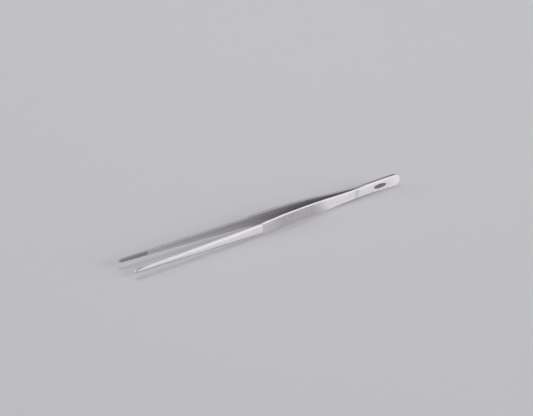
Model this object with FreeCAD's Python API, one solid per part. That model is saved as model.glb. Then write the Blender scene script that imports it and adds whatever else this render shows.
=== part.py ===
"""Long stainless steel print tongs: two sprung strip arms, spot welded together at a rounded head.

Frame: +X runs from the tips to the head, +Y from the front arm to the rear arm, and +Z is up, across the
width of the strip. The tongs lie on the lower edges of their arms, with the widest stretch of each arm at
z = 0, and the origin is at the middle of the length and of the spread. Millimetres.

Lengths along an arm are stations, counted along X from the head's round end. Each arm is one bent strip.
It is parted at the middle of its springing neck by a round nose in a round cup, so that the bending of the
neck becomes a hinge, and again where the flat grip ends and the crowned jaw begins. The rear arm is built,
and mirrored in the plane between the arms for the front one.
"""

import FreeCAD, Part
import math
import os

# Overall sizes
LENGTH = 300.0
THICKNESS = 2.3

# Stations along an arm, from the head's end to the tip
FOLD_START = 26.0
FOLD_END = 46.0
WAIST = 57.0
HINGE = 70.0
BELLY_START = 112.0
BELLY_END = 135.0
BEND_START = 150.0
GRIP_END = 167.0

# Widths of the strip at those stations
HEAD_WIDTH = 10.0
WAIST_WIDTH = 8.15
BELLY_WIDTH = 11.3
GRIP_END_WIDTH = 8.9
FRONT_WIDTH = 8.5
TIP_WIDTH = 2.5
GRIP_TAPER = 0.1

# Angles to the plane between the arms: the head is in that plane, the rest leans away from it
FOLD_ANGLE = math.radians(3.6)
FRONT_ANGLE = math.radians(1.17)

# Front part: a slightly crowned outer face, whose sides are this deep, that ends in a blunt nose
CROWN_EDGE = 2.05
NOSE_RADIUS = 0.45

# Fine teeth across the inner face of each jaw
TEETH_START = 273.0
TEETH_COUNT = 26
TOOTH_PITCH = 1.0
GROOVE_WIDTH = 0.6
GROOVE_DEPTH = 0.25

# Round nose and cup at the hinge
CUP_CLEARANCE = 0.02

# Weld nuggets inside the head
NUGGET_STATIONS = (8.0, 19.0)
NUGGET_RADIUS = 2.25
NUGGET_DEPTH = 0.7
POCKET_CLEARANCE = 0.02

# Plain etched patch on the front arm's outer face
MARK_STATION = 24.6
MARK_LENGTH = 15.0
MARK_WIDTH = 4.2
MARK_DEPTH = 0.06

MID_Z = BELLY_WIDTH / 2
MARGIN = 5.0
MAX_SPREAD = 20.0
Z_AXIS = FreeCAD.Vector(0, 0, 1)
Y_AXIS = FreeCAD.Vector(0, 1, 0)

# Inner face of an arm in plan: (station, angle to the mid-plane) where each line or arc starts and ends
PLAN_KNOTS = [
    (0.0, 0.0),
    (FOLD_START, 0.0),
    (FOLD_END, FOLD_ANGLE),
    (BEND_START, FOLD_ANGLE),
    (GRIP_END, FRONT_ANGLE),
    (LENGTH, FRONT_ANGLE),
]


def across(start, end, station):
    """The angle and the distance from the mid-plane gained from start to station on one line or arc."""
    (s0, angle0), (s1, angle1) = start, end
    if angle0 == angle1:
        return angle0, (station - s0) * math.tan(angle0)
    radius = (s1 - s0) / (math.sin(angle1) - math.sin(angle0))
    angle = math.asin(math.sin(angle0) + (station - s0) / radius)
    return angle, radius * (math.cos(angle0) - math.cos(angle))


def inner_face(station):
    """The angle and the distance from the mid-plane of the inner face at a station."""
    distance = 0.0
    for start, end in zip(PLAN_KNOTS, PLAN_KNOTS[1:]):
        angle, gain = across(start, end, min(station, end[0]))
        distance += gain
        if station <= end[0]:
            break
    return angle, distance


def plan_point(station, depth, z=0.0):
    """A point of the rear arm: depth is measured from the inner face, square to it, outwards."""
    angle, distance = inner_face(station)
    x = LENGTH / 2 - station + depth * math.sin(angle)
    return FreeCAD.Vector(x, distance + depth * math.cos(angle), z)


def arc(a, b, c):
    return Part.Arc(a, b, c).toShape()


def plan_edges(first, last, depth):
    """The lines and arcs of the arm in plan from one station to another, at one depth in the strip."""
    stops = [first] + [s for s, _ in PLAN_KNOTS if first < s < last] + [last]
    edges = []
    for s0, s1 in zip(stops, stops[1:]):
        a, middle, b = (plan_point(s, depth) for s in (s0, (s0 + s1) / 2, s1))
        straight = inner_face(s0)[0] == inner_face(s1)[0]
        edges.append(Part.makeLine(a, b) if straight else arc(a, middle, b))
    return edges


def raise_plan(edges):
    """A solid as tall as the widest strip, from the edges of its plan."""
    wire = Part.Wire(Part.__sortEdges__(edges))
    return Part.Face(wire).extrude(Z_AXIS * BELLY_WIDTH)


def side_curve(s0, s1, width0, width1, taper0, taper1, side):
    """A Bezier edge of the side view, between two stations. side is 1 for the upper edge, -1 the lower."""
    third = (s1 - s0) / 3
    poles = [
        (s0, width0),
        (s0 + third, width0 - taper0 * third),
        (s1 - third, width1 + taper1 * third),
        (s1, width1),
    ]
    curve = Part.BezierCurve()
    curve.setPoles([side_point(s, width, side) for s, width in poles])
    return curve.toShape()


def side_point(station, width, side):
    return FreeCAD.Vector(LENGTH / 2 - station, 0, MID_Z + side * width / 2)


def side_line(s0, s1, width, side):
    return Part.makeLine(side_point(s0, width, side), side_point(s1, width, side))


def side_edges(side):
    """One long edge of the strip in side view: head, waist, belly, taper, and a run past the grip's end."""
    return [
        side_curve(HEAD_WIDTH / 2, WAIST, HEAD_WIDTH, WAIST_WIDTH, 0, 0, side),
        side_curve(WAIST, BELLY_START, WAIST_WIDTH, BELLY_WIDTH, 0, 0, side),
        side_line(BELLY_START, BELLY_END, BELLY_WIDTH, side),
        side_curve(BELLY_END, GRIP_END, BELLY_WIDTH, GRIP_END_WIDTH, 0, GRIP_TAPER, side),
        side_line(GRIP_END, GRIP_END + MARGIN, GRIP_END_WIDTH, side),
    ]


def round_edge(centre, width, end):
    """Half a circle in side view, that closes the strip's outline at its end station."""
    return arc(side_point(centre, width, 1), side_point(end, 0, 1), side_point(centre, width, -1))


def deepen(edges):
    """A solid that reaches through both faces of the rear arm, from the edges of a side view."""
    solid = Part.Face(Part.Wire(Part.__sortEdges__(edges))).extrude(Y_AXIS * (MAX_SPREAD + MARGIN))
    solid.translate(Y_AXIS * -MARGIN)
    return solid


def shank_outline():
    """The side view of the strip from the head's round end to past the end of the grip, as a deep solid."""
    past_end = GRIP_END + MARGIN
    blunt_end = Part.makeLine(
        side_point(past_end, GRIP_END_WIDTH, 1), side_point(past_end, GRIP_END_WIDTH, -1)
    )
    return deepen([round_edge(HEAD_WIDTH / 2, HEAD_WIDTH, 0), *side_edges(1), *side_edges(-1), blunt_end])


def square_end(station):
    """The edge that closes an arm's plan square across the strip."""
    return Part.makeLine(plan_point(station, 0), plan_point(station, THICKNESS))


def shank(first, last, first_edge, last_edge):
    """The flat strip between two stations, closed in plan by an edge at each."""
    faces = plan_edges(first, last, 0) + plan_edges(first, last, THICKNESS)
    return raise_plan([*faces, first_edge, last_edge]).common(shank_outline())


def crown_section(station, width):
    """The section of the front part: flat inside, and crowned outside."""
    corners = [
        plan_point(station, depth, MID_Z + side * width / 2)
        for depth, side in ((CROWN_EDGE, 1), (0, 1), (0, -1), (CROWN_EDGE, -1))
    ]
    sides = [Part.makeLine(a, b) for a, b in zip(corners, corners[1:])]
    crown = arc(corners[3], plan_point(station, THICKNESS, MID_Z), corners[0])
    return Part.Wire(Part.__sortEdges__([*sides, crown]))


def tip_block():
    """A block around the front part, with its end rounded in plan and in side view, to trim the tip."""
    start = GRIP_END - MARGIN
    shoulder = LENGTH - NOSE_RADIUS
    diagonal = NOSE_RADIUS * math.sin(math.pi / 4)
    nose_middle = plan_point(shoulder + diagonal, THICKNESS - NOSE_RADIUS + diagonal)
    corners = [
        plan_point(LENGTH, THICKNESS - NOSE_RADIUS),
        plan_point(LENGTH, -MARGIN),
        plan_point(start, -MARGIN),
        plan_point(start, THICKNESS + MARGIN),
        plan_point(shoulder, THICKNESS + MARGIN),
        plan_point(shoulder, THICKNESS),
    ]
    rim = [Part.makeLine(a, b) for a, b in zip(corners, corners[1:])]
    plan = raise_plan([*rim, arc(corners[-1], nose_middle, corners[0])])
    centre = LENGTH - TIP_WIDTH / 2
    corners = [
        side_point(centre, TIP_WIDTH, 1),
        side_point(centre, BELLY_WIDTH, 1),
        side_point(start, BELLY_WIDTH, 1),
        side_point(start, BELLY_WIDTH, -1),
        side_point(centre, BELLY_WIDTH, -1),
        side_point(centre, TIP_WIDTH, -1),
    ]
    rim = [Part.makeLine(a, b) for a, b in zip(corners, corners[1:])]
    return plan.common(deepen([*rim, round_edge(centre, TIP_WIDTH, LENGTH)]))


def tooth_grooves():
    """The V grooves between the teeth, as one compound of prisms across the jaw."""
    grooves = []
    for index in range(TEETH_COUNT):
        station = TEETH_START + index * TOOTH_PITCH
        corners = [
            plan_point(station - GROOVE_WIDTH / 2, 0),
            plan_point(station, GROOVE_DEPTH),
            plan_point(station + GROOVE_WIDTH / 2, 0),
        ]
        mouth = plan_point(station, -GROOVE_DEPTH)
        outline = Part.makePolygon([*corners, mouth, corners[0]])
        grooves.append(Part.Face(outline).extrude(Z_AXIS * BELLY_WIDTH))
    return Part.makeCompound(grooves)


def jaw():
    """The crowned front part of the rear arm, from the grip's end to the tip, with its teeth."""
    sections = [crown_section(GRIP_END, FRONT_WIDTH), crown_section(LENGTH, TIP_WIDTH)]
    return Part.makeLoft(sections, True, True).common(tip_block()).cut(tooth_grooves())


def neck_arc(radius):
    """The arc of the nose or of the cup around the hinge axis, and the station where it meets the faces."""
    reach = math.sqrt(radius ** 2 - (THICKNESS / 2) ** 2) * math.cos(FOLD_ANGLE)
    end = HINGE - reach
    crest = plan_point(HINGE, THICKNESS / 2)
    crest += FreeCAD.Vector(radius * math.cos(FOLD_ANGLE), -radius * math.sin(FOLD_ANGLE), 0)
    return arc(plan_point(end, 0), crest, plan_point(end, THICKNESS)), end


def grip():
    """The flat moving part of the rear arm: half of the neck, the shoulder, and the grip."""
    nose, start = neck_arc(THICKNESS / 2)
    return shank(start, GRIP_END, nose, square_end(GRIP_END))


def weld_discs(clearance):
    """The weld nuggets, centred on the plane between the arms."""
    return [
        Part.makeCylinder(
            NUGGET_RADIUS + clearance,
            2 * NUGGET_DEPTH,
            side_point(station, 0, 1) - Y_AXIS * NUGGET_DEPTH,
            Y_AXIS,
        )
        for station in NUGGET_STATIONS
    ]


def heel():
    """The fixed part of the rear arm: the head, the fold, and the other half of the neck."""
    cup, end = neck_arc(THICKNESS / 2 + CUP_CLEARANCE)
    return shank(0, end, square_end(0), cup).cut(Part.makeCompound(weld_discs(POCKET_CLEARANCE)))


def etched_patch():
    """The shallow oval etched into an arm's outer face, at the head. Its floor follows the face."""
    stations = (MARK_STATION - MARK_LENGTH / 2 - 1, MARK_STATION + MARK_LENGTH / 2 + 1)
    floor, above = THICKNESS - MARK_DEPTH, THICKNESS + MARGIN
    ends = [Part.makeLine(plan_point(s, floor), plan_point(s, above)) for s in stations]
    layer = raise_plan([*plan_edges(*stations, floor), *plan_edges(*stations, above), *ends])
    centre = side_point(MARK_STATION, 0, 1)
    oval = Part.Ellipse(centre, MARK_LENGTH / 2, MARK_WIDTH / 2).toShape()
    oval.rotate(centre, FreeCAD.Vector(1, 0, 0), 90)
    return layer.common(deepen([oval]))


def mirrored(shape):
    """The rear arm's piece, mirrored to the front arm."""
    return shape.mirror(FreeCAD.Vector(0, 0, 0), Y_AXIS)


def main():
    nodes = {"head_weld_nuggets": Part.makeCompound(weld_discs(0))}
    for name, piece in (("heel", heel()), ("grip", grip()), ("jaw", jaw())):
        nodes[f"rear_arm_{name}"] = piece
        nodes[f"front_arm_{name}"] = mirrored(piece)
    nodes["front_arm_heel"] = mirrored(heel().cut(etched_patch()))
    os.makedirs("parts", exist_ok=True)
    for name, shape in nodes.items():
        shape.exportStep(f"parts/{name}.step")


main()
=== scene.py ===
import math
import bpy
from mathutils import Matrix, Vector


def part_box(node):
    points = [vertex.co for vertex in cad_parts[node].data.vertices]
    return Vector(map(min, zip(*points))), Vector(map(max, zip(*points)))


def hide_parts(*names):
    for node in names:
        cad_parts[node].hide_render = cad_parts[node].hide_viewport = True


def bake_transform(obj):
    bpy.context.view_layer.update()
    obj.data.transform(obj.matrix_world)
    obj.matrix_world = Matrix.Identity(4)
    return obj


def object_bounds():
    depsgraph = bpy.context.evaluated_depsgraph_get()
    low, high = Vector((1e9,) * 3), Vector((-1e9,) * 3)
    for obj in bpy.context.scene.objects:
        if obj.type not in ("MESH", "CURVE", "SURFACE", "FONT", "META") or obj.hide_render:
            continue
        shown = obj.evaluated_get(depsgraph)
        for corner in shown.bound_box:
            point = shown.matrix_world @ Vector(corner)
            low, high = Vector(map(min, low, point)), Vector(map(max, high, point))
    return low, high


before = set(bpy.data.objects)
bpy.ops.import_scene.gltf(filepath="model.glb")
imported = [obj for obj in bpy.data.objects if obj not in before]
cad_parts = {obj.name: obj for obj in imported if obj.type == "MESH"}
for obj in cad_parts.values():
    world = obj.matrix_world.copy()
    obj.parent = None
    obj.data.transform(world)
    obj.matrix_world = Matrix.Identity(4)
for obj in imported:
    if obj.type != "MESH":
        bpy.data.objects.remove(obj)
cad_low, cad_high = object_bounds()

# Print tongs: two bent strips of brushed stainless steel, welded together at a rounded head.
# Each arm is made here as one continuous strip, which bends between the head and its own moving body.
# A strip is laid out flat first, as (station, depth, height) in millimetres: station runs from the head's
# round end to the tip, depth from the inner face outwards, and height across the width, from its middle.
# It is then bent to its plan and moved into the frame, in metres.

from types import SimpleNamespace

import bmesh
import bpy
import numpy as np
from mathutils import Matrix, Vector

# One millimetre, in metres
MM = 0.001

# Sizes read from the frame
heel_low, heel_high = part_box("rear_arm_heel")
grip_low, grip_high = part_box("rear_arm_grip")
LENGTH = (cad_high.x - cad_low.x) / MM
HEAD_WIDTH = (heel_high.z - heel_low.z) / MM
BELLY_WIDTH = (grip_high.z - grip_low.z) / MM
GRIP_END = (cad_high.x - grip_low.x) / MM
MID_Z = (grip_low.z + grip_high.z) / 2

# The design's other sizes, in millimetres along and across the flat strip, and its two leaning angles
THICKNESS = 2.3
FOLD_START, FOLD_END = 26.0, 46.0
WAIST, HINGE = 57.0, 70.0
BELLY_START, BELLY_END, BEND_START = 112.0, 135.0, 150.0
WAIST_WIDTH, GRIP_END_WIDTH, FRONT_WIDTH, TIP_WIDTH = 8.15, 8.9, 8.5, 2.5
GRIP_TAPER = 0.1
CROWN_EDGE = 2.05
NOSE_RADIUS = 0.45
TEETH_START, TEETH_COUNT, TOOTH_PITCH = 273.0, 26, 1.0
GROOVE_WIDTH, GROOVE_DEPTH = 0.6, 0.25
FOLD_ANGLE, FRONT_ANGLE = math.radians(3.6), math.radians(1.17)

# Radii of the rounded edges, and the width of the narrow band that holds each face level beside them.
# Faces that meet at more than the sharp angle are shaded with a crisp line between them.
SHANK_ROUND, FRONT_ROUND, INNER_ROUND, HOLD = 0.28, 0.7, 0.25, 0.12
SHARP_ANGLE = math.radians(35)

# Fine cross ribs on the grip, that fade out towards the shoulder and before the strip's edges
RIBS_START, RIBS_FULL = 87.0, 106.0
RIB_PITCH, RIB_DEPTH, RIB_SQUARENESS = 1.0, 0.05, 6

# How far the step at the grip's end slopes to each side of it
STEP_SOFTNESS = 0.08

# Points of the mesh closer than the first are merged, and edges shorter than the second are dissolved.
# No row of points comes closer than the third to the tip's round end.
MERGE_REACH, DISSOLVE_REACH, ROW_CLEARANCE = 1e-4, 1e-5, 0.1

# Etched patch on the front arm's head: an oval, sunk into the outer face behind a short slope
MARK_STATION, MARK_LENGTH, MARK_WIDTH = 24.6, 15.0, 4.2
MARK_DEPTH, MARK_SLOPE = 0.06, 0.08

# The satin of the grip starts on a slant at the shoulder. Most of it comes in over the first stretch of
# stations and the rest over the second. It wears thinner over the third, and stops at a sharp line.
GRIP_SLANT, LINE_SOFTNESS = 0.6, 0.1
GRIP_FADE, GRIP_FADE_SHARE = (RIBS_START - 0.5, RIBS_FULL - 4), 0.8
GRIP_TAIL, GRIP_TAIL_SHARE = (RIBS_START + 9, RIBS_FULL + 6), 0.2
GRIP_WEAR, GRIP_WORN_SHARE = (BEND_START - 8, GRIP_END), 0.64

# Where the rest of the finish, and the painted light and shade, change along the strip, as stations: (none of
# it, all of it). The head's end takes a painted highlight and the lower inside a painted sheen; the front's
# start and end, the corner, the neck's inside and the jaw take painted shade.
HEAD_END_HIGHLIGHT, FRONT_BRIGHT, INSIDE_SHEEN_REACH = (18.0, 4.0), (265.0, 225.0), (125.0, 165.0)
FRONT_START_SHADE, FRONT_END_SHADE = (GRIP_END + 22, GRIP_END + 2), (258.0, 288.0)
CORNER_SHADE, NECK_INSIDE_SHADE = (GRIP_END + 2, GRIP_END + 30), (BEND_START + 5, 105.0)
JAW_SHADE = (TEETH_START - 1.5, TEETH_START - 0.5)
TIP_POLISH = (LENGTH - 1.3, LENGTH - 0.6)

# Where it changes across the strip, as heights, and round it, as zones: (none of it, all of it). The heights
# bound the painted shade on the front's upper face and upper corner, the painted sheen on the lower inside,
# and where the lower edge takes its own painted tones.
# Zone 0 is the outer face, 1 the edges and 2 the inner face.
UPPER_FACE_SHADE, LOWER_SHEEN_HEIGHTS, UPPER_CORNER, LOWER_EDGE = (-1.0, 1.5), (1.5, -3.5), (-0.2, 0.6), (0.2, -0.6)
OUTER_ZONE, INNER_ZONE = (0.9, 0.3), (1.3, 1.9)
EDGE_ZONE_START, EDGE_ZONE_END = (0.0, 0.15), (1.9, 1.0)

# Soft bands of painted shade, as the middle and the reach to each side: two across the strip, as stations,
# and the one along its corner, as zones. The one at the fold is painted shade in its bend, the one just
# behind the tip a painted dark line, and the one along the corner dims its highlight.
CREASE, TIP_SHADE_RING, CORNER_ZONE = (53.5, 4.8), (LENGTH - 1.6, 0.9), (0.22, 0.22)

# Noise in the steel: how quickly it varies along the strip, through it and across its width
LINES_ALONG, LINES_ACROSS = (0.12, 5.0, 5.0), (7.0, 2.0, 0.35)
STREAKS, MOTTLE = (0.05, 1.1, 1.1), (0.8, 0.6, 0.16)
CLOUDS, SPECKS = (0.05, 0.05, 0.08), (3.0, 3.0, 3.0)
NOISE_CONTRAST = (0.3, 0.7)

# Roughness of the steel where the grain is 0, and how much more it is where the grain is 1. Then the
# strength and the height of the grain's relief.
ROUGHNESS, ROUGHNESS_SPREAD = 0.36, 0.16
RELIEF_STRENGTH, RELIEF_HEIGHT = 0.22, 0.02 * MM

# Tones of the steel, of the etched oval and of the welds. Some of the steel's are painted light: painted
# shade for the front's upper face, the inner faces, the fold, the gap at the neck, the jaw's teeth, the
# corner and the line behind the tip, and a painted sheen for the lower inside.
BRIGHT, BRUSHED, CLOUDED = (1.0, 0.96, 0.995), (0.84, 0.805, 0.835), (0.84, 0.805, 0.84)
SATIN_LOW, SATIN_HIGH = (0.37, 0.35, 0.37), (0.475, 0.455, 0.475)
PAINTED_FOLD_SHADE, PAINTED_SHEEN = (0.56, 0.53, 0.56), (0.80, 0.77, 0.80)
PAINTED_SHADE, PAINTED_TIP_SHADE = (0.40, 0.385, 0.40), (0.42, 0.40, 0.42)
PAINTED_TEETH_SHADE, PAINTED_GAP_SHADE = (0.16, 0.155, 0.16), (0.06, 0.057, 0.06)
ETCHED_LOW, ETCHED_HIGH = (0.105, 0.097, 0.1), (0.30, 0.275, 0.28)
ETCHED_BORDER, ETCHED_COVER, ETCHED_ROUGHER = (1.04, 0.96), 0.93, 0.3
WELD_LOW, WELD_HIGH = (0.30, 0.30, 0.31), (0.5, 0.5, 0.52)
WELD_GRAIN, WELD_CONTRAST, WELD_ROUGHNESS = 2.5 / MM, (0.2, 0.8), (0.45, 0.7)

# How bright each arm's edges are painted along the strip, as (station, grey): the upper edge, and the lower
# one. These greys are painted light and shade: a painted highlight along the front arm's edges back from the
# grip's end and on its tip, painted shade along its lower edge in front of the grip and just behind its tip,
# painted shade on the rear arm's duller upper edge, and a painted highlight along the rear arm's lower edge.
FRONT_EDGE_LIGHT_AND_SHADE = (
    [
        (0, 0.97), (GRIP_END - 4, 0.97), (GRIP_END, 0.8), (200, 0.84),
        (285, 0.8), (292, 0.65), (298.6, 0.42), (299.2, 0.96),
    ],
    [(0, 0.96), (GRIP_END - 4, 0.93), (GRIP_END + 6, 0.18), (298.6, 0.18), (299.2, 0.95)],
)
REAR_EDGE_LIGHT_AND_SHADE = (
    [
        (0, 0.2), (27, 0.24), (50, 0.6), (90, 0.58), (112, 0.48),
        (275, 0.45), (290, 0.37), (297, 0.33), (299, 0.5),
    ],
    [(0, 0.28), (100, 0.46), (150, 0.75), (297, 0.7), (299, 0.6)],
)

# Studio, in metres and watts: the floor, and the lights as (name, place, size, power)
FLOOR_HALF, FLOOR_GAP = 12.0, 0.05 * MM
FLOOR_COLOUR, FLOOR_ROUGHNESS = (0.745, 0.745, 0.755, 1), 0.7
SKY_COLOUR, SKY_STRENGTH = (0.93, 0.94, 0.96, 1), 0.27
LIGHTS = [
    ("back_key", (0.69, 1.19, 1.97), 1.5, 12.3),
    ("overhead", (-0.2, -0.3, 1.6), 1.4, 2.3),
    ("front_left", (-4.2, -3.9, 3.0), 3.0, 20.7),
    ("front_right", (3.78, -4.53, 1.89), 3.24, 209.0),
    ("back_left", (-4.8, 4.95, 2.49), 1.8, 76.0),
]

# Camera: its angles in degrees, its distance in metres and its lens in millimetres. The slide is how far
# the tongs' middle is from the picture's middle, to the right and up, in metres.
CAMERA_AZIMUTH, CAMERA_ELEVATION, CAMERA_ROLL = 40.0, 24.25, 1.35
CAMERA_DISTANCE = 1.5
CAMERA_LENS = 118.5
CAMERA_SLIDE = (3.41 * MM, -10.2 * MM)


def make_camera():
    """A long lens in front of the tongs' front arm, to the left of it and above, aimed at mid-length."""
    azimuth, elevation, roll = (
        math.radians(angle) for angle in (CAMERA_AZIMUTH, CAMERA_ELEVATION, CAMERA_ROLL)
    )
    level_right = Vector((math.cos(azimuth), -math.sin(azimuth), 0))
    level_ahead = Vector((math.sin(azimuth), math.cos(azimuth), 0))
    ahead = level_ahead * math.cos(elevation) - Vector((0, 0, math.sin(elevation)))
    level_up = level_ahead * math.sin(elevation) + Vector((0, 0, math.cos(elevation)))
    right = level_right * math.cos(roll) + level_up * math.sin(roll)
    up = level_up * math.cos(roll) - level_right * math.sin(roll)
    target = Vector(((cad_low.x + cad_high.x) / 2, 0, MID_Z))
    place = target - ahead * CAMERA_DISTANCE - right * CAMERA_SLIDE[0] - up * CAMERA_SLIDE[1]
    camera = bpy.data.objects.new("camera", bpy.data.cameras.new("camera"))
    camera.data.lens = CAMERA_LENS
    camera.matrix_world = Matrix.Translation(place) @ Matrix((right, up, -ahead)).transposed().to_4x4()
    bpy.context.scene.collection.objects.link(camera)
    bpy.context.scene.camera = camera


# ---- The shape of one strip ----

# The plan of an arm, as (station, angle of its inner face): between two knots it bends as a circle does
PLAN_KNOTS = [
    (0.0, 0.0),
    (FOLD_START, 0.0),
    (FOLD_END, FOLD_ANGLE),
    (BEND_START, FOLD_ANGLE),
    (GRIP_END, FRONT_ANGLE),
    (LENGTH, FRONT_ANGLE),
]


def lean(station):
    """The angle of the inner face to the plane between the arms, and its distance from that plane."""
    distance = 0.0
    for (start, start_angle), (end, end_angle) in zip(PLAN_KNOTS, PLAN_KNOTS[1:]):
        run = min(station, end) - start
        if start_angle == end_angle:
            angle = start_angle
            distance += run * math.tan(start_angle)
        else:
            radius = (end - start) / (math.sin(end_angle) - math.sin(start_angle))
            angle = math.asin(math.sin(start_angle) + run / radius)
            distance += radius * (math.cos(start_angle) - math.cos(angle))
        if station <= end:
            break
    return angle, distance


def ease(station, start, end, start_width, end_width, end_taper=0.0):
    """A width between two stations: level at the first, narrowing by end_taper a millimetre at the second."""
    share = (station - start) / (end - start)
    blend = share * share * (3 - 2 * share)
    narrowing = end_taper * (end - start) * (share ** 3 - share ** 2)
    return start_width + (end_width - start_width) * blend - narrowing


def half_width(station):
    """Half the strip's width at a station, apart from its two round ends."""
    if station < HEAD_WIDTH / 2:
        width = HEAD_WIDTH
    elif station < WAIST:
        width = ease(station, HEAD_WIDTH / 2, WAIST, HEAD_WIDTH, WAIST_WIDTH)
    elif station < BELLY_START:
        width = ease(station, WAIST, BELLY_START, WAIST_WIDTH, BELLY_WIDTH)
    elif station < BELLY_END:
        width = BELLY_WIDTH
    elif station < GRIP_END:
        width = ease(station, BELLY_END, GRIP_END, BELLY_WIDTH, GRIP_END_WIDTH, GRIP_TAPER)
    else:
        width = FRONT_WIDTH + (TIP_WIDTH - FRONT_WIDTH) * (station - GRIP_END) / (LENGTH - GRIP_END)
    return width / 2


def fade(value, start, end):
    """A smooth step from 0 at the start to 1 at the end."""
    share = min(max((value - start) / (end - start), 0.0), 1.0)
    return share * share * (3 - 2 * share)


def outer_depth(station, height):
    """The outer face's depth: flat up to the grip's end, crowned beyond it, and rounded off at the nose."""
    depth = THICKNESS
    if station > GRIP_END:
        half = half_width(min(station, LENGTH - TIP_WIDTH / 2))
        rise = THICKNESS - CROWN_EDGE
        radius = (rise ** 2 + half ** 2) / (2 * rise)
        depth -= radius - math.sqrt(radius ** 2 - min(abs(height), half) ** 2)
    over = max(station - (LENGTH - NOSE_RADIUS), 0.0)
    nose = NOSE_RADIUS - math.sqrt(max(NOSE_RADIUS ** 2 - over ** 2, 0.0))
    return depth * (1 - nose / THICKNESS)


def rib_depth(station):
    """How far the grip's cross ribs dip at a station."""
    if not RIBS_START < station < GRIP_END - STEP_SOFTNESS:
        return 0.0
    wave = (1 - math.cos(2 * math.pi * (GRIP_END - station) / RIB_PITCH)) / 2
    return RIB_DEPTH * wave * fade(station, RIBS_START, RIBS_FULL)


def groove_depth(station):
    """How deep the jaw's teeth are cut at a station, on the inner face."""
    index = round((station - TEETH_START) / TOOTH_PITCH)
    if not 0 <= index < TEETH_COUNT:
        return 0.0
    off = abs(station - TEETH_START - index * TOOTH_PITCH)
    return GROOVE_DEPTH * max(1 - 2 * off / GROOVE_WIDTH, 0.0)


def mark_stations():
    """Rows of points across the etched oval, and one just outside each of its ends."""
    steps, reach = 24, MARK_LENGTH / 2
    inside = [MARK_STATION - reach * math.cos(math.pi * step / steps) for step in range(1, steps)]
    return [MARK_STATION - reach - MARK_SLOPE, *inside, MARK_STATION + reach + MARK_SLOPE]


def body_stations(marked):
    """The stations of the rows of points between the two round ends, close together at fine shapes."""
    plain, rib_row = 1.5, RIB_PITCH / 6
    head, tip = HEAD_WIDTH / 2, LENGTH - TIP_WIDTH / 2
    stations = list(np.arange(head + plain, RIBS_START, plain))
    if marked:
        rows = mark_stations()
        low, high = rows[0] - plain / 3, rows[-1] + plain / 3
        stations = [station for station in stations if not low < station < high]
        stations = sorted(stations + rows)
    stations += list(np.arange(RIBS_START, GRIP_END - 3 * STEP_SOFTNESS, rib_row))
    stations += [GRIP_END + times * STEP_SOFTNESS for times in (-2.5, -1, 1, 2.5)]
    stations += list(np.arange(GRIP_END + plain, TEETH_START - plain, plain))
    for index in range(TEETH_COUNT):
        middle = TEETH_START + index * TOOTH_PITCH
        rows = (middle - GROOVE_WIDTH / 2, middle, middle + GROOVE_WIDTH / 2)
        stations += [station for station in rows if station < tip - ROW_CLEARANCE]
    return stations


def outline(marked):
    """Rows from the head's end to the tip: station, half width, and the way inwards from the upper edge."""
    steps = 14
    turns = [math.pi / 2 * step / steps for step in range(steps + 1)]
    head, tip = HEAD_WIDTH / 2, TIP_WIDTH / 2
    tip_half = half_width(LENGTH - tip)
    rows = [
        (head * (1 - math.cos(turn)), head * math.sin(turn), math.cos(turn), -math.sin(turn))
        for turn in turns
    ]
    rows += [(station, half_width(station), 0.0, -1.0) for station in body_stations(marked)]
    rows += [
        (LENGTH - tip * (1 - math.cos(turn)), tip_half * math.sin(turn), -math.cos(turn), -math.sin(turn))
        for turn in reversed(turns)
    ]
    return rows


def face_columns(station, limit, marked):
    """Points across the outer face at a station, out to limit: (height, how deep the face is sunk there).

    Where they cross the etched oval, two of them on each side follow its edge.
    """
    half_count = 7
    off = (station - MARK_STATION) / (MARK_LENGTH / 2)
    if marked and abs(off) < 1:
        edge = MARK_WIDTH / 2 * math.sqrt(1 - off ** 2)
        floor_edge, rim = edge - MARK_SLOPE / 2, edge + MARK_SLOPE / 2
        upper = [(0, MARK_DEPTH), (floor_edge / 2, MARK_DEPTH), (floor_edge, MARK_DEPTH)]
        outside = half_count - len(upper)
        upper += [(rim + (limit - rim) * step / outside, 0.0) for step in range(outside + 1)]
    else:
        ribs = rib_depth(station)
        upper = [
            (limit * step / half_count, ribs * (1 - (step / half_count) ** RIB_SQUARENESS))
            for step in range(half_count + 1)
        ]
    return [(-height, sunk) for height, sunk in reversed(upper[1:])] + upper


def ring(station, half, inward_station, inward_height, marked):
    """One closed row round the strip: (station, depth, height) points, each with the zone that it is in.

    The zone is 0 on the outer face, 1 on the edges and 2 on the inner face, and rises evenly round a bend.
    """
    across_inner, bends = 8, 4
    groove = groove_depth(station)
    widening = fade(station, GRIP_END - STEP_SOFTNESS, GRIP_END + 1)
    outer_round = SHANK_ROUND + (FRONT_ROUND - SHANK_ROUND) * widening

    def edge(inset):
        """The station and the height that are an inset away from the upper edge."""
        return station + inward_station * inset, half + inward_height * inset

    place, limit = edge(outer_round + HOLD)
    columns = face_columns(station, limit, marked)
    outer = [((place, outer_depth(place, height) - sunk, height), 0.0) for height, sunk in columns]
    corner_depth = outer_depth(*edge(outer_round))
    upper = []
    for step in range(bends + 1):
        turn = math.pi / 2 * step / bends
        place, height = edge(outer_round * (1 - math.sin(turn)))
        upper.append(((place, corner_depth - outer_round * (1 - math.cos(turn)), height), step / bends))
    for step in range(bends + 1):
        turn = math.pi / 2 * step / bends
        place, height = edge(INNER_ROUND * (1 - math.cos(turn)))
        upper.append(((place, groove + INNER_ROUND * (1 - math.sin(turn)), height), 1 + step / bends))
    place, limit = edge(INNER_ROUND + HOLD)
    heights = [(1 - 2 * step / across_inner) * limit for step in range(across_inner + 1)]
    inner = [((place, groove, height), 2.0) for height in heights]
    lower = [((place, depth, -height), zone) for (place, depth, height), zone in reversed(upper)]
    return outer + upper + inner + lower


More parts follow.
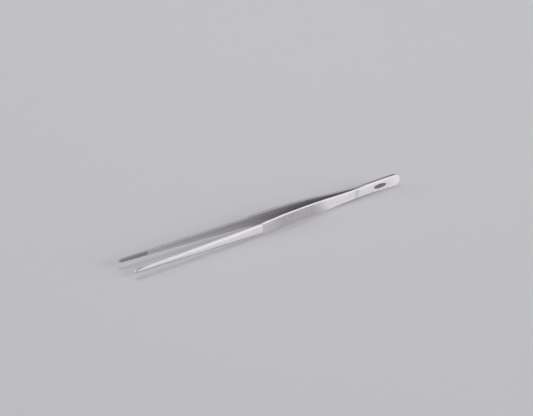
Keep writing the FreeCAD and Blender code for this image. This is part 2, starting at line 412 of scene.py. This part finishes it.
def strip_mesh(name, marked):
    """The flat strip as a closed mesh, that keeps its flat coordinates and zones as attributes."""
    rows = [ring(*row, marked) for row in outline(marked)]
    count = len(rows[0])
    shape = bmesh.new()
    layer = shape.verts.layers.float.new("zone")
    verts = []
    for row in rows:
        verts.append([shape.verts.new(point) for point, _ in row])
        for vert, (_, zone) in zip(verts[-1], row):
            vert[layer] = zone
    for near, far in zip(verts, verts[1:]):
        for index in range(count):
            after = (index + 1) % count
            shape.faces.new((near[index], near[after], far[after], far[index]))
    bmesh.ops.remove_doubles(shape, verts=shape.verts, dist=MERGE_REACH)
    bmesh.ops.dissolve_degenerate(shape, edges=shape.edges, dist=DISSOLVE_REACH)
    bmesh.ops.recalc_face_normals(shape, faces=shape.faces)
    mesh = bpy.data.meshes.new(name)
    shape.to_mesh(mesh)
    shape.free()
    mesh.shade_smooth()
    mesh.set_sharp_from_angle(angle=SHARP_ANGLE)
    flat = np.array([vertex.co for vertex in mesh.vertices], np.float32)
    mesh.attributes.new("strip", "FLOAT_VECTOR", "POINT").data.foreach_set("vector", flat.ravel())
    return mesh


def bent(point, side):
    """A flat point, bent to the arm's plan and moved into the frame.

    side is -1 for the front arm and 1 for the rear one.
    """
    station, depth, height = point
    angle, distance = lean(station)
    x = cad_high.x - (station - depth * math.sin(angle)) * MM
    y = side * (distance + depth * math.cos(angle)) * MM
    return x, y, MID_Z + height * MM


def make_arm(name, side, material):
    """One arm, from the round head to the tip, as an object in the frame."""
    mesh = strip_mesh(name, side < 0)
    for vertex in mesh.vertices:
        vertex.co = bent(vertex.co, side)
    if side > 0:
        mesh.flip_normals()
    mesh.materials.append(material)
    arm = bpy.data.objects.new(name, mesh)
    bpy.context.scene.collection.objects.link(arm)
    return arm


# ---- Materials ----

def new_material(name):
    """A material, with its node tree and its shader."""
    material = bpy.data.materials.new(name)
    material.use_nodes = True
    tree = material.node_tree
    return material, tree, tree.nodes["Principled BSDF"]


def math_node(tree, operation, a, b=None):
    """A Math node. a and b are sockets or numbers."""
    node = tree.nodes.new("ShaderNodeMath")
    node.operation = operation
    for socket, value in zip(node.inputs, (a, b)):
        if isinstance(value, bpy.types.NodeSocket):
            tree.links.new(value, socket)
        elif value is not None:
            socket.default_value = value
    return node.outputs[0]


def remap(tree, value, low, high, to_low=0.0, to_high=1.0):
    """A smooth step of value from low to high, as to_low to to_high."""
    node = tree.nodes.new("ShaderNodeMapRange")
    node.interpolation_type = "SMOOTHSTEP"
    tree.links.new(value, node.inputs["Value"])
    for key, number in (("From Min", low), ("From Max", high), ("To Min", to_low), ("To Max", to_high)):
        node.inputs[key].default_value = number
    return node.outputs["Result"]


def noise(tree, vector, scales, detail=2.0, roughness=0.5):
    """Noise on a vector stretched by scales, from 0 to 1."""
    stretch = tree.nodes.new("ShaderNodeVectorMath")
    stretch.operation = "MULTIPLY"
    tree.links.new(vector, stretch.inputs[0])
    stretch.inputs[1].default_value = scales
    node = tree.nodes.new("ShaderNodeTexNoise")
    tree.links.new(stretch.outputs[0], node.inputs["Vector"])
    node.inputs["Scale"].default_value = 1.0
    node.inputs["Detail"].default_value = detail
    node.inputs["Roughness"].default_value = roughness
    return node.outputs["Fac"]


def mix_colour(tree, factor, a, b):
    """A mix of two colours by factor. a and b are sockets or RGB values."""
    node = tree.nodes.new("ShaderNodeMix")
    node.data_type = "RGBA"
    tree.links.new(factor, node.inputs["Factor"])
    for key, value in (("A", a), ("B", b)):
        socket = [item for item in node.inputs if item.name == key and item.type == "RGBA"][0]
        if isinstance(value, bpy.types.NodeSocket):
            tree.links.new(value, socket)
        else:
            socket.default_value = (*value, 1.0)
    return [item for item in node.outputs if item.type == "RGBA"][0]


def mix_value(tree, factor, a, b):
    """A mix of two sockets' values by factor."""
    node = tree.nodes.new("ShaderNodeMix")
    for socket, key in ((factor, "Factor"), (a, "A"), (b, "B")):
        tree.links.new(socket, node.inputs[key])
    return node.outputs["Result"]


def attribute(tree, name):
    """The node of a mesh attribute."""
    node = tree.nodes.new("ShaderNodeAttribute")
    node.attribute_name = name
    return node


def bell(tree, value, centre, reach):
    """A smooth bell of value: 1 at the centre, and 0 from reach away."""
    off = math_node(tree, "ABSOLUTE", math_node(tree, "SUBTRACT", value, centre))
    return remap(tree, off, reach, 0.0)


def product(tree, first, *others):
    """A socket, multiplied by any number of sockets or numbers."""
    for other in others:
        first = math_node(tree, "MULTIPLY", first, other)
    return first


def tones(tree, station, stops):
    """A grey that follows (station, grey) stops along the strip, tinted like the steel."""
    node = tree.nodes.new("ShaderNodeValToRGB")
    tree.links.new(math_node(tree, "DIVIDE", station, LENGTH), node.inputs["Fac"])
    ramp = node.color_ramp
    ramp.interpolation = "EASE"
    while len(ramp.elements) < len(stops):
        ramp.elements.new(0.5)
    for element, (place, grey) in zip(ramp.elements, stops):
        element.position = place / LENGTH
        element.color = (*(grey * part for part in BRIGHT), 1)
    return node.outputs["Color"]


def ellipse(tree, along, up, centre, half_length, half_height):
    """How far a point is from an ellipse's centre, where 1 is on the ellipse, squared."""
    x = math_node(tree, "DIVIDE", math_node(tree, "SUBTRACT", along, centre), half_length)
    y = math_node(tree, "DIVIDE", up, half_height)
    return math_node(tree, "ADD", product(tree, x, x), product(tree, y, y))


def finish_masks(tree, station, height, zone):
    """Where each finish of the steel, and each patch of painted light and shade, lies on the strip: a mask
    for each, from 0 to 1.
    """

    def along(none, full):
        return remap(tree, station, none, full)

    def up(none, full):
        return remap(tree, height, none, full)

    outer = remap(tree, zone, *OUTER_ZONE)
    inner = remap(tree, zone, *INNER_ZONE)
    edge = product(tree, remap(tree, zone, *EDGE_ZONE_START), remap(tree, zone, *EDGE_ZONE_END))
    slanted = math_node(tree, "SUBTRACT", station, product(tree, height, GRIP_SLANT))
    fade_in = remap(tree, slanted, *GRIP_FADE, 0.0, GRIP_FADE_SHARE)
    tail = remap(tree, slanted, *GRIP_TAIL, 0.0, GRIP_TAIL_SHARE)
    worn = remap(tree, station, *GRIP_WEAR, 1.0, GRIP_WORN_SHARE)
    before_line = along(GRIP_END + LINE_SOFTNESS, GRIP_END - LINE_SOFTNESS)
    after_line = along(GRIP_END - LINE_SOFTNESS, GRIP_END + LINE_SOFTNESS)
    front = product(tree, after_line, outer)
    upper_front_shade = product(tree, up(*UPPER_FACE_SHADE), front)
    return SimpleNamespace(
        outer=outer,
        inner=inner,
        edge=edge,
        grip=product(tree, math_node(tree, "ADD", fade_in, tail), before_line, worn, outer),
        upper_front_shade=upper_front_shade,
        front_start_shade=product(tree, along(*FRONT_START_SHADE), upper_front_shade),
        front_bright=product(tree, along(*FRONT_BRIGHT), front),
        front_end_shade=product(tree, along(*FRONT_END_SHADE), front),
        head_end_highlight=product(tree, along(*HEAD_END_HIGHLIGHT), outer),
        fold_shade=product(tree, bell(tree, station, *CREASE), outer),
        neck_inside_shade=product(tree, along(*NECK_INSIDE_SHADE), inner),
        lower_inside_sheen=product(tree, up(*LOWER_SHEEN_HEIGHTS), along(*INSIDE_SHEEN_REACH), inner),
        jaw=product(tree, along(*JAW_SHADE), inner),
        corner=product(tree, bell(tree, zone, *CORNER_ZONE), up(*UPPER_CORNER), along(*CORNER_SHADE)),
        tip_end=product(tree, along(*TIP_POLISH), edge),
        tip_shade_ring=product(tree, bell(tree, station, *TIP_SHADE_RING), outer),
        lower_edge=up(*LOWER_EDGE),
    )


def brushed_grain(tree, flat, grip):
    """The fine lines of the brushing, from 0 to 1: along the strip, and across it on the grip."""
    lengthwise = noise(tree, flat, LINES_ALONG, detail=3.0, roughness=0.6)
    crosswise = noise(tree, flat, LINES_ACROSS, detail=3.0, roughness=0.6)
    return mix_value(tree, grip, lengthwise, crosswise)


def steel_colour(tree, flat, station, masks, edges):
    """The colour of the steel: streaked and clouded, with the tone of each finish, and of each painted shade,
    sheen and highlight, laid over it in turn.
    """
    streaks = noise(tree, flat, STREAKS, detail=3.0, roughness=0.55)
    mottle = noise(tree, flat, MOTTLE, detail=3.0, roughness=0.65)
    clouds = noise(tree, flat, CLOUDS)
    satin = mix_colour(tree, remap(tree, mottle, *NOISE_CONTRAST), SATIN_LOW, SATIN_HIGH)
    # The edges' painted highlights and painted shade, from the arm's two tables: the upper edge's, and the
    # lower edge's
    upper_edge, lower_edge = (tones(tree, station, stops) for stops in edges)
    edge = mix_colour(tree, masks.lower_edge, upper_edge, lower_edge)
    colour = mix_colour(tree, remap(tree, streaks, *NOISE_CONTRAST), BRUSHED, BRIGHT)
    for mask, amount, tone in (
        (clouds, 0.3, CLOUDED),
        (masks.front_bright, 0.7, BRIGHT),
        # Painted highlight on the head's round end
        (masks.head_end_highlight, 0.8, BRIGHT),
        # Painted shade on the front's upper face, and more of it just past the grip's end
        (masks.upper_front_shade, 0.13, PAINTED_SHADE),
        (masks.front_start_shade, 0.17, PAINTED_SHADE),
        # Painted shade on the front's outer face towards the tip
        (masks.front_end_shade, 0.2, PAINTED_SHADE),
        (masks.grip, 0.8, satin),
        # Painted shade in the band at the fold
        (masks.fold_shade, 0.58, PAINTED_FOLD_SHADE),
        # Painted shade on the inner faces between the arms
        (masks.inner, 0.8, PAINTED_SHADE),
        # Painted shade deep in the narrowing gap between the arms by the neck
        (masks.neck_inside_shade, 0.24, PAINTED_GAP_SHADE),
        # Painted sheen on the lower part of the inner faces towards the tip
        (masks.lower_inside_sheen, 0.65, PAINTED_SHEEN),
        # Painted shade over the jaw's teeth
        (masks.jaw, 0.38, PAINTED_TEETH_SHADE),
        # Painted dark line just behind the tip's round end
        (masks.tip_shade_ring, 1.0, PAINTED_TIP_SHADE),
        # Painted highlights and painted shade on the edges
        (masks.edge, 1.0, edge),
        # Painted shade that dims the highlight on the front's upper corner
        (masks.corner, 0.8, PAINTED_SHADE),
    ):
        colour = mix_colour(tree, product(tree, mask, amount), colour, tone)
    return colour


def steel_roughness(tree, grain, masks):
    """The roughness of the steel: the grain's, and more or less of it where the finish differs."""
    rough = math_node(tree, "MULTIPLY_ADD", grain, ROUGHNESS_SPREAD)
    rough.node.inputs[2].default_value = ROUGHNESS
    for mask, extra in (
        (masks.grip, 0.14),
        (masks.inner, 0.14),
        (masks.edge, 0.16),
        (masks.fold_shade, 0.08),
        (masks.tip_end, -0.34),
    ):
        rough = math_node(tree, "ADD", rough, product(tree, mask, extra))
    return rough


def add_etching(tree, flat, station, height, outer, colour, rough):
    """The dark, matt, speckled oval, laid over the colour and the roughness of the head."""
    oval = ellipse(tree, station, height, MARK_STATION, MARK_LENGTH / 2, MARK_WIDTH / 2)
    patch = product(tree, remap(tree, oval, *ETCHED_BORDER), outer)
    specks = noise(tree, flat, SPECKS, detail=4.0, roughness=0.7)
    etched = mix_colour(tree, specks, ETCHED_LOW, ETCHED_HIGH)
    colour = mix_colour(tree, product(tree, patch, ETCHED_COVER), colour, etched)
    return colour, math_node(tree, "ADD", rough, product(tree, patch, ETCHED_ROUGHER))


def steel(name, marked, edges):
    """Brushed stainless steel, with painted highlights and painted shade, laid out on the flat strip, as an
    arm's material.
    """
    material, tree, shader = new_material(name)
    flat = attribute(tree, "strip").outputs["Vector"]
    zone = attribute(tree, "zone").outputs["Fac"]
    axes = tree.nodes.new("ShaderNodeSeparateXYZ")
    tree.links.new(flat, axes.inputs[0])
    station, _, height = axes.outputs
    masks = finish_masks(tree, station, height, zone)
    grain = brushed_grain(tree, flat, masks.grip)
    colour = steel_colour(tree, flat, station, masks, edges)
    rough = steel_roughness(tree, grain, masks)
    if marked:
        colour, rough = add_etching(tree, flat, station, height, masks.outer, colour, rough)
    bump = tree.nodes.new("ShaderNodeBump")
    bump.inputs["Strength"].default_value = RELIEF_STRENGTH
    bump.inputs["Distance"].default_value = RELIEF_HEIGHT
    tree.links.new(grain, bump.inputs["Height"])
    tree.links.new(bump.outputs[0], shader.inputs["Normal"])
    tree.links.new(colour, shader.inputs["Base Color"])
    tree.links.new(rough, shader.inputs["Roughness"])
    shader.inputs["Metallic"].default_value = 1.0
    return material


def weld_metal():
    """Dull cast-looking metal of the weld nuggets, inside the head."""
    material, tree, shader = new_material("weld_metal")
    place = tree.nodes.new("ShaderNodeTexCoord")
    grain = noise(tree, place.outputs["Object"], (WELD_GRAIN, WELD_GRAIN, WELD_GRAIN), detail=4.0)
    tree.links.new(mix_colour(tree, grain, WELD_LOW, WELD_HIGH), shader.inputs["Base Color"])
    rough = remap(tree, grain, *WELD_CONTRAST, *WELD_ROUGHNESS)
    tree.links.new(rough, shader.inputs["Roughness"])
    shader.inputs["Metallic"].default_value = 1.0
    return material


# ---- Studio ----

def make_floor():
    """A plain pale floor, just under the tongs."""
    material, _, shader = new_material("studio_floor")
    shader.inputs["Base Color"].default_value = FLOOR_COLOUR
    shader.inputs["Roughness"].default_value = FLOOR_ROUGHNESS
    mesh = bpy.data.meshes.new("floor")
    corners = [(x * FLOOR_HALF, y * FLOOR_HALF, 0) for x, y in ((-1, -1), (1, -1), (1, 1), (-1, 1))]
    mesh.from_pydata(corners, [], [(0, 1, 2, 3)])
    mesh.materials.append(material)
    floor = bpy.data.objects.new("floor", mesh)
    floor.location.z = cad_low.z - FLOOR_GAP
    bpy.context.scene.collection.objects.link(floor)


def make_light(name, place, size, power):
    """A square soft light, aimed at the middle of the tongs."""
    light = bpy.data.lights.new(name, "AREA")
    light.size = size
    light.energy = power
    lamp = bpy.data.objects.new(name, light)
    lamp.location = place
    lamp.rotation_euler = (-Vector(place)).to_track_quat("-Z", "Y").to_euler()
    bpy.context.scene.collection.objects.link(lamp)


def make_studio():
    """The floor, an even sky and soft lights."""
    bpy.context.scene.view_settings.view_transform = "Standard"
    make_floor()
    world = bpy.data.worlds.new("studio")
    world.use_nodes = True
    sky = world.node_tree.nodes["Background"]
    sky.inputs["Color"].default_value = SKY_COLOUR
    sky.inputs["Strength"].default_value = SKY_STRENGTH
    bpy.context.scene.world = world
    for light in LIGHTS:
        make_light(*light)


make_camera()
make_studio()
for arm_name, side, edges in (("front_arm", -1, FRONT_EDGE_LIGHT_AND_SHADE), ("rear_arm", 1, REAR_EDGE_LIGHT_AND_SHADE)):
    arm = make_arm(arm_name, side, steel(arm_name + "_steel", side < 0, edges))
    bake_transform(arm)
    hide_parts(arm_name + "_heel", arm_name + "_grip", arm_name + "_jaw")
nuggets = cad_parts["head_weld_nuggets"]
nuggets.data.materials.clear()
nuggets.data.materials.append(weld_metal())
